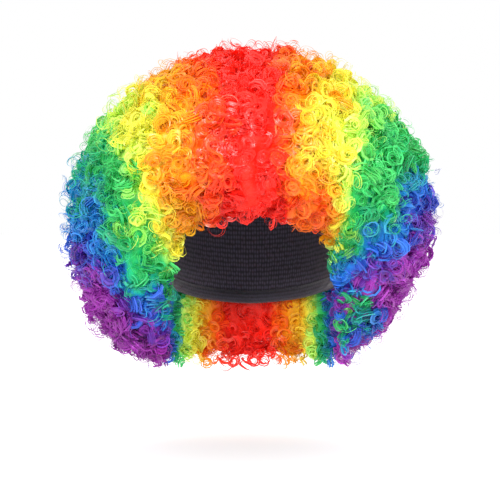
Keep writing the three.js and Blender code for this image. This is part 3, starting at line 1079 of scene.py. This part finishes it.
def make_cap():
    """The net cap, with rows of stitched hair round its inside."""
    degrees = np.arange(CAP_AROUND) * 360 / CAP_AROUND
    share = np.linspace(CROWN_START, 1, CAP_ROWS + 1)
    tilt = edge_tilt(degrees, 0)[:, None] * share
    angle = np.broadcast_to(degrees[:, None], tilt.shape)
    on_head = head_point(angle, tilt, 0)
    drop = -on_head[..., 2] + tilt * WEFT_TILT
    wave = np.abs(np.sin(np.pi * drop / WEFT_SPACING))
    weft = np.clip((wave - (1 - WEFT_WIDTH)) / WEFT_WIDTH, 0, 1) ** 2
    inwards = (weft * WEFT_HEIGHT * np.clip((1 - share) * WEFT_FADE, 0, 1) / MEAN_RADIUS)[..., None]
    inside = on_head * (1 - inwards) + inwards * (0, 0, -CROWN_RISE)
    outside = head_point(angle, tilt, CAP_WALL)
    mesh = Mesh()
    closed_round(mesh, np.concatenate([inside, outside[:, ::-1]], axis=1), CAP_WEAVE)
    net = cloth_material("net_weave", NET_COLOUR, NET_LIGHTER, scale=(0.5, 0.5), strength=0.7)
    return mesh.build("cap_net", [net])


def make_band():
    """The elastic binding folded over the cap's edge, gathered into fine ribs."""
    degrees = np.arange(BAND_AROUND) * 360 / BAND_AROUND
    top = edge_tilt(degrees, BAND_HEIGHT)
    middle = edge_tilt(degrees, BAND_HEIGHT / 2)
    fold = edge_tilt(degrees, -BAND_CLEARANCE)
    bottom = edge_tilt(degrees, -BAND_CLEARANCE - BAND_WALL)
    rib = RIB_HEIGHT * np.sin(np.radians(degrees) * RIB_WAVES)
    inside, outside = -BAND_CLEARANCE, CAP_WALL + BAND_CLEARANCE
    innermost, outermost = inside - BAND_WALL, outside + BAND_WALL
    profile = [(tilt, inside) for tilt in (top, middle, fold)]
    profile += [(tilt, outside) for tilt in (fold, middle, top)]
    profile += [(top, outside + BAND_WALL * BAND_LIP), (middle, outermost), (fold, outermost)]
    profile += [(bottom, outside), (bottom, inside)]
    profile += [(fold, innermost + rib), (middle, innermost - rib)]
    profile += [(top, inside - BAND_WALL * BAND_LIP), (top, inside)]
    rows = np.stack([head_point(degrees, tilt, offset) for tilt, offset in profile], axis=1)
    mesh = Mesh()
    closed_round(mesh, rows, BAND_WEAVE)
    ribs = cloth_material("elastic_weave", BAND_COLOUR, BAND_LIGHTER, scale=(0.9, 0.5), strength=0.6)
    return mesh.build("elastic_binding", [ribs])


# Making the pieces

chosen, fillers = curl_places()
hair_materials = [
    (hair_material(f"fibre_{name}_below", False), hair_material(f"fibre_{name}", True)) for name in STRIPES
]
for number, (node, stripe, hand) in enumerate(PIECES):
    hair = Mesh()
    add_shell(hair, stripe, hand)
    add_fillers(hair, number, stripe, fillers)
    add_outer_curls(hair, number, stripe, chosen)
    add_edge_curls(hair, stripe, hand)
    add_loose_curls(hair, number, stripe, chosen)
    piece = hair.build(node.replace("hair_", "curls_"), hair_materials[stripe])
    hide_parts(node)
    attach(piece, "root")

cap = make_cap()
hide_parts("cap")
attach(cap, "root")
band = make_band()
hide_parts("elastic_band")
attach(band, "root")


# Floor, light and camera, in metres

FLOOR_BELOW = 0.25
FLOOR_HALF = 6.0
WIG_CENTRE = Vector((0, 0, -0.07))
CAMERA_DISTANCE = 1.6
CAMERA_AZIMUTH = math.radians(-1)
CAMERA_HEIGHT = math.radians(2)
VIEW_WIDTH = 0.395
VIEW_CENTRE = Vector((-0.0016, 0, -0.0932))
SENSOR = 36


def make_floor():
    """A plain pale floor."""
    mesh = bpy.data.meshes.new("floor")
    sides = ((-1, -1), (1, -1), (1, 1), (-1, 1))
    corners = [(x * FLOOR_HALF, y * FLOOR_HALF, -FLOOR_BELOW) for x, y in sides]
    mesh.from_pydata(corners, [], [(0, 1, 2, 3)])
    floor = add_object("floor", mesh)
    material, _, _, shader = new_material("floor")
    set_sockets(shader, {"Base Color": (0.85, 0.85, 0.85, 1), "Roughness": 0.9})
    mesh.materials.append(material)


def add_light(name, place, softness, power):
    """A soft light from a place towards the wig. The softness is an angle in degrees."""
    lamp = bpy.data.lights.new(name, "SUN")
    lamp.angle = math.radians(softness)
    lamp.energy = power
    light = add_object(name, lamp)
    light.location = place
    light.rotation_euler = (WIG_CENTRE - Vector(place)).to_track_quat("-Z", "Y").to_euler()


def make_world():
    """An even white surrounding, which the camera sees as plain white."""
    world = bpy.data.worlds.new("studio")
    bpy.context.scene.world = world
    world.use_nodes = True
    nodes, link = world.node_tree.nodes, world.node_tree.links.new
    background = nodes["Background"]
    set_sockets(background, {"Color": (1, 1, 1, 1), "Strength": 1.1})
    seen = add_node(nodes, "Background", {"Color": (1, 1, 1, 1)})
    chooser = add_node(nodes, "MixShader")
    ray = add_node(nodes, "LightPath")
    link(ray.outputs["Is Camera Ray"], chooser.inputs["Fac"])
    link(background.outputs["Background"], chooser.inputs[1])
    link(seen.outputs["Background"], chooser.inputs[2])
    link(chooser.outputs["Shader"], nodes["World Output"].inputs["Surface"])


def make_camera():
    """The camera, as the photo was taken."""
    lens = bpy.data.cameras.new("camera")
    lens.sensor_width = SENSOR
    lens.lens = SENSOR * CAMERA_DISTANCE / VIEW_WIDTH
    camera = add_object("camera", lens)
    towards = Vector((
        math.sin(CAMERA_AZIMUTH) * math.cos(CAMERA_HEIGHT),
        -math.cos(CAMERA_AZIMUTH) * math.cos(CAMERA_HEIGHT),
        math.sin(CAMERA_HEIGHT),
    ))
    camera.location = VIEW_CENTRE + towards * CAMERA_DISTANCE
    camera.rotation_euler = (-towards).to_track_quat("-Z", "Y").to_euler()
    bpy.context.scene.camera = camera


make_floor()
add_light("key", place=(-0.6, -1.85, 0.65), softness=12, power=2.8)
add_light("fill", place=(1.0, -1.65, 0.5), softness=14, power=1.9)
add_light("top", place=(0.2, 0.6, 1.7), softness=60, power=0.5)
make_world()
make_camera()
bpy.context.scene.view_settings.view_transform = "Standard"
